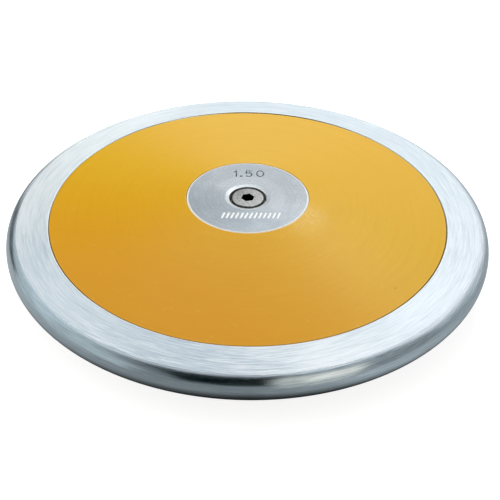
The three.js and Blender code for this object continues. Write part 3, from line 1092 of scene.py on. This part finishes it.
def set_camera():
    """A long lens that looks down from the front, rolled a little about its own axis.

    The photograph is a crop, with the lens's axis left of its middle, so the lens is shifted sideways.
    """
    tilt = Matrix.Rotation(math.pi / 2 - CAMERA_ELEVATION, 4, "X")
    camera = shown("camera", bpy.data.cameras.new("camera"))
    camera.data.lens = CAMERA_LENS
    camera.data.shift_x = CAMERA_SHIFT
    camera.matrix_world = tilt @ Matrix.Rotation(CAMERA_ROLL, 4, "Z")
    camera.location = tilt @ Vector((CAMERA_ASIDE, CAMERA_RAISED, CAMERA_DISTANCE))
    bpy.context.scene.camera = camera


def seen_white(tree):
    """1 for rays from the camera and for mirrored and refracted rays, which all see the white background."""
    path = put("ShaderNodeLightPath", tree=tree)
    mirrored = calc("MAXIMUM", path["Is Glossy Ray"], path["Is Transmission Ray"])
    return calc("MAXIMUM", path["Is Camera Ray"], mirrored)


def glow(tree, colour, strength, kind="ShaderNodeEmission"):
    return put(kind, {"Color": colour, "Strength": strength}, tree)[0]


def either(amount, first, second):
    """The first shader, giving way to the second as amount goes from 0 to 1."""
    return put("ShaderNodeMixShader", {0: amount, 1: first, 2: second})[0]


def set_world():
    """White to the eye and in reflections, and a plain pale level of light for everything else."""
    world = bpy.data.worlds.new("studio")
    bpy.context.scene.world = world
    world.use_nodes = True
    tree = world.node_tree
    tree.nodes.clear()
    light = glow(tree, LIGHT_COLOUR, LIGHT_LEVEL, "ShaderNodeBackground")
    white = glow(tree, WHITE, 1.0, "ShaderNodeBackground")
    put("ShaderNodeOutputWorld", {"Surface": either(seen_white(tree), light, white)})


def stage(name, points, faces):
    """A mesh of the studio, with an empty material of its own, whose node tree is given as well."""
    mesh = bpy.data.meshes.new(name)
    mesh.from_pydata(points, [], faces)
    piece = shown(name, mesh)
    material = bpy.data.materials.new(name)
    material.use_nodes = True
    material.node_tree.nodes.clear()
    mesh.materials.append(material)
    return piece, material.node_tree


def set_floor():
    """A pale floor that takes the shadow. A glow makes it white where it is lit, and all of it far off."""
    half = FLOOR_SIZE / 2
    level = -FACE_HEIGHT - FLOOR_GAP
    corners = [(-half, -half, level), (half, -half, level), (half, half, level), (-half, half, level)]
    _, tree = stage("floor", corners, [(0, 1, 2, 3)])
    seen = seen_white(tree)
    pale = put("ShaderNodeBsdfDiffuse", {"Color": FLOOR_GREY}, tree)[0]
    near = put("ShaderNodeAddShader", {0: pale, 1: glow(tree, WHITE, seen * FLOOR_GLOW)})[0]
    far = measured("LENGTH", spot_on(tree)).ramp(*WHITE_SPAN)
    put("ShaderNodeOutputMaterial", {"Surface": either(far * seen, near, glow(tree, WHITE, 1.0))})


def within(value, low, high, soft):
    """1 between low and high, 0 outside, with soft borders that lie half inside."""
    rise = smooth(value, low - soft / 2, low + soft / 2)
    return rise * (1 - smooth(value, high - soft / 2, high + soft / 2))


# What the metal mirrors. Each patch spans angles over the discus (0 is the horizon in front, 90 overhead,
# 180 the horizon behind) and angles to the side (left is negative), with a soft border, and has a colour.
ROOM_COLOUR = (0.38, 0.43, 0.45)
ROOM_PATCHES = (
    ((-20, 200), (-95, -26), 12, (0.56, 0.64, 0.66)),
    ((104, 134), (-78, -36), 14, (0.67, 0.78, 0.82)),
    ((98, 168), (-31, 30), 10, (0.96, 1.02, 1.07)),
    ((112, 152), (-32, -19), 6, (1.22, 1.30, 1.34)),
    ((98, 186), (10, 66), 24, (0.70, 0.75, 0.77)),
    ((102, 174), (10, 45), 16, (1.18, 1.19, 1.21)),
    ((114, 158), (27, 45), 8, (1.28, 1.27, 1.30)),
    ((93, 114), (-13, 22), 8, (1.33, 1.40, 1.46)),
    ((158, 172), (-9, 16), 6, (0.66, 0.58, 0.60)),
    ((121, 138), (-19, -7), 5, (0.66, 0.70, 0.72)),
    ((136, 171), (-24, -8), 6, (0.06, 0.07, 0.07)),
    ((130, 158), (-12, 0), 5, (0.28, 0.30, 0.31)),
    ((150, 166), (5, 20), 6, (0.80, 0.76, 0.77)),
    ((125, 135), (13, 21), 5, (4.2, 4.2, 4.0)),
    ((158, 200), (-58, -35), 7, (0.12, 0.13, 0.14)),
    ((160, 188), (-38, -29), 7, (0.12, 0.13, 0.14)),
    ((172, 204), (-28, 26), 6, (1.12, 1.08, 1.09)),
    ((187, 204), (-35, 28), 5, (1.12, 1.08, 1.09)),
    ((-20, 24), (-50, 10), 10, (0.26, 0.30, 0.31)),
    ((20, 89), (-43, 12), 20, (0.20, 0.23, 0.24)),
    ((22, 82), (-27, 12), 10, (0.0, 0.006, 0.006)),
    ((10, 92), (46, 84), 10, (0.28, 0.32, 0.33)),
    ((66, 92), (20, 42), 10, (0.28, 0.32, 0.34)),
    ((-20, 32), (13, 46), 6, (0.56, 0.59, 0.56)),
    ((28, 73), (9, 37), 5, (0.70, 0.72, 0.66)),
    ((28, 66), (22, 38), 6, (1.14, 1.12, 1.02)),
    ((28, 55), (34, 44), 5, (1.04, 1.02, 0.94)),
)


def stage_glow(name, rows, colours):
    """A surface over a grid of points that only mirrored rays see, glowing in the colour of each point."""
    count, around = rows.shape[:2]
    index = np.arange(count * around).reshape(count, around)
    faces = np.stack([index[:-1, :-1], index[1:, :-1], index[1:, 1:], index[:-1, 1:]], axis=-1)
    piece, tree = stage(name, rows.reshape(-1, 3).tolist(), faces.reshape(-1, 4).tolist())
    attribute = piece.data.attributes.new("glow", "FLOAT_VECTOR", "POINT")
    attribute.data.foreach_set("vector", colours.astype(np.float32).ravel())
    for ray in ("camera", "diffuse", "shadow", "transmission", "volume_scatter"):
        setattr(piece, "visible_" + ray, False)
    colour = put("ShaderNodeAttribute", tree=tree, attribute_name="glow")["Color"]
    put("ShaderNodeOutputMaterial", {"Surface": glow(tree, colour, 1.0)})


def set_room(distance=3.0, step=1.5):
    """The room as a shell: at angle o over and s to the side it lies at distance (sin s, -cos s cos o,
    cos s sin o)."""
    over = np.arange(-15, 195 + step, step)[:, None]
    side = np.arange(-90, 90 + step, step)[None]
    o, s = np.broadcast_arrays(over * DEGREE, side * DEGREE)
    rows = distance * np.stack([np.sin(s), -np.cos(s) * np.cos(o), np.cos(s) * np.sin(o)], axis=-1)
    colours = np.broadcast_to(ROOM_COLOUR, rows.shape)
    for over_span, side_span, soft, colour in ROOM_PATCHES:
        cover = within(over, *over_span, soft) * within(side, *side_span, soft)
        colours = colours + cover[..., None] * (np.array(colour) - colours)
    stage_glow("room", rows, colours)


# The floor as the metal mirrors it, with its brightness by degrees round from the front, to the right. It is
# dark under the discus and lit farther out. Each edge of that fade is given in front, and at the sides.
MAT_LIFT = 0.3 * MM
MAT_SHADE = 0.02
MAT_COLOUR = np.array([0.9, 1.0, 1.03])
MAT_RINGS = np.concatenate([np.linspace(0.0, 0.2, 41), np.geomspace(0.22, 3.2, 20)])
LIT_FROM = (0.098, 0.085)
LIT_TO = (0.138, 0.115)
MAT_LEVELS = (
    (-180, 1.12), (-149, 1.12), (-145, 0.18), (-128, 0.24), (-112, 0.54), (-90, 0.55), (-50, 0.39),
    (-32, 0.31), (0, 0.29), (22, 0.40), (32, 0.54), (44, 0.55), (80, 0.45), (108, 0.45), (126, 0.53),
    (146, 0.58), (151, 1.12), (180, 1.12),
)


def set_mat(step=2.5):
    """Grey in front, white behind, and dark under the discus. Its rings lie close where the light starts."""
    radius = MAT_RINGS[:, None]
    heading = np.arange(-180, 180 + step, step)
    turn = heading * DEGREE
    height = np.full((len(radius), len(turn)), MAT_LIFT - FACE_HEIGHT)
    rows = np.stack([radius * np.sin(turn), -radius * np.cos(turn), height], axis=-1)
    to_side = np.abs(np.sin(turn))
    lit = smooth(radius, np.interp(to_side, (0, 1), LIT_FROM), np.interp(to_side, (0, 1), LIT_TO))
    level = np.interp(heading, *zip(*MAT_LEVELS))[:, None]
    colours = MAT_SHADE + lit[..., None] * (MAT_COLOUR * level - MAT_SHADE)
    stage_glow("mat", rows, colours)


def softbox(name, azimuth, elevation, power, size, colour, distance=1.2):
    """A square area lamp aimed at the discus."""
    lamp = bpy.data.lights.new(name, "AREA")
    lamp.energy = power
    lamp.size = size
    lamp.color = colour
    a, e = azimuth * DEGREE, elevation * DEGREE
    outward = Vector((math.sin(a) * math.cos(e), -math.cos(a) * math.cos(e), math.sin(e)))
    holder = shown(name, lamp)
    holder.location = outward * distance
    holder.rotation_mode = "QUATERNION"
    holder.rotation_quaternion = outward.to_track_quat("Z", "Y")
    holder.visible_glossy = False


def set_studio():
    set_camera()
    set_world()
    set_floor()
    softbox("key", azimuth=176, elevation=44, power=9.8, size=0.6, colour=(0.88, 1.0, 0.96), distance=1.0)
    softbox("fill", azimuth=-42, elevation=55, power=3.0, size=1.2, colour=(1.0, 0.94, 0.86))
    set_room()
    set_mat()
    bpy.context.scene.view_settings.view_transform = "Standard"


set_studio()

gold = gold_plastic()
aluminium = turned_aluminium()
fastener_steel = bolt_steel()
sheet_steel = plain_steel()
rubber = seal_rubber()

steel_rim(rim_steel())
for half, over in (("upper", False), ("lower", True)):
    gold_side_plate(half + "_side_plate", gold, over)
    turned_centre_plate(half + "_centre_plate", aluminium, over)
    plain_ring(half + "_seal_ring", SEAL_BORE, rubber, ease=0.3 * MM)
    plain_ring(half + "_trim_shim_1", BALLAST_BORE, sheet_steel, ease=0.05 * MM)
    for number in (1, 2):
        plain_ring(f"{half}_ballast_ring_{number}", BALLAST_BORE, sheet_steel)
plain_ring("hub_core", HUB_CORE_BORE, aluminium)
plain_ring("flat_washer", WASHER_BORE, sheet_steel)
socket_bolt(fastener_steel)
socket_barrel_nut(fastener_steel)

# The split lock washer keeps its own solid
lock_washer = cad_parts["lock_washer"]
lock_washer.data.materials.clear()
lock_washer.data.materials.append(sheet_steel)
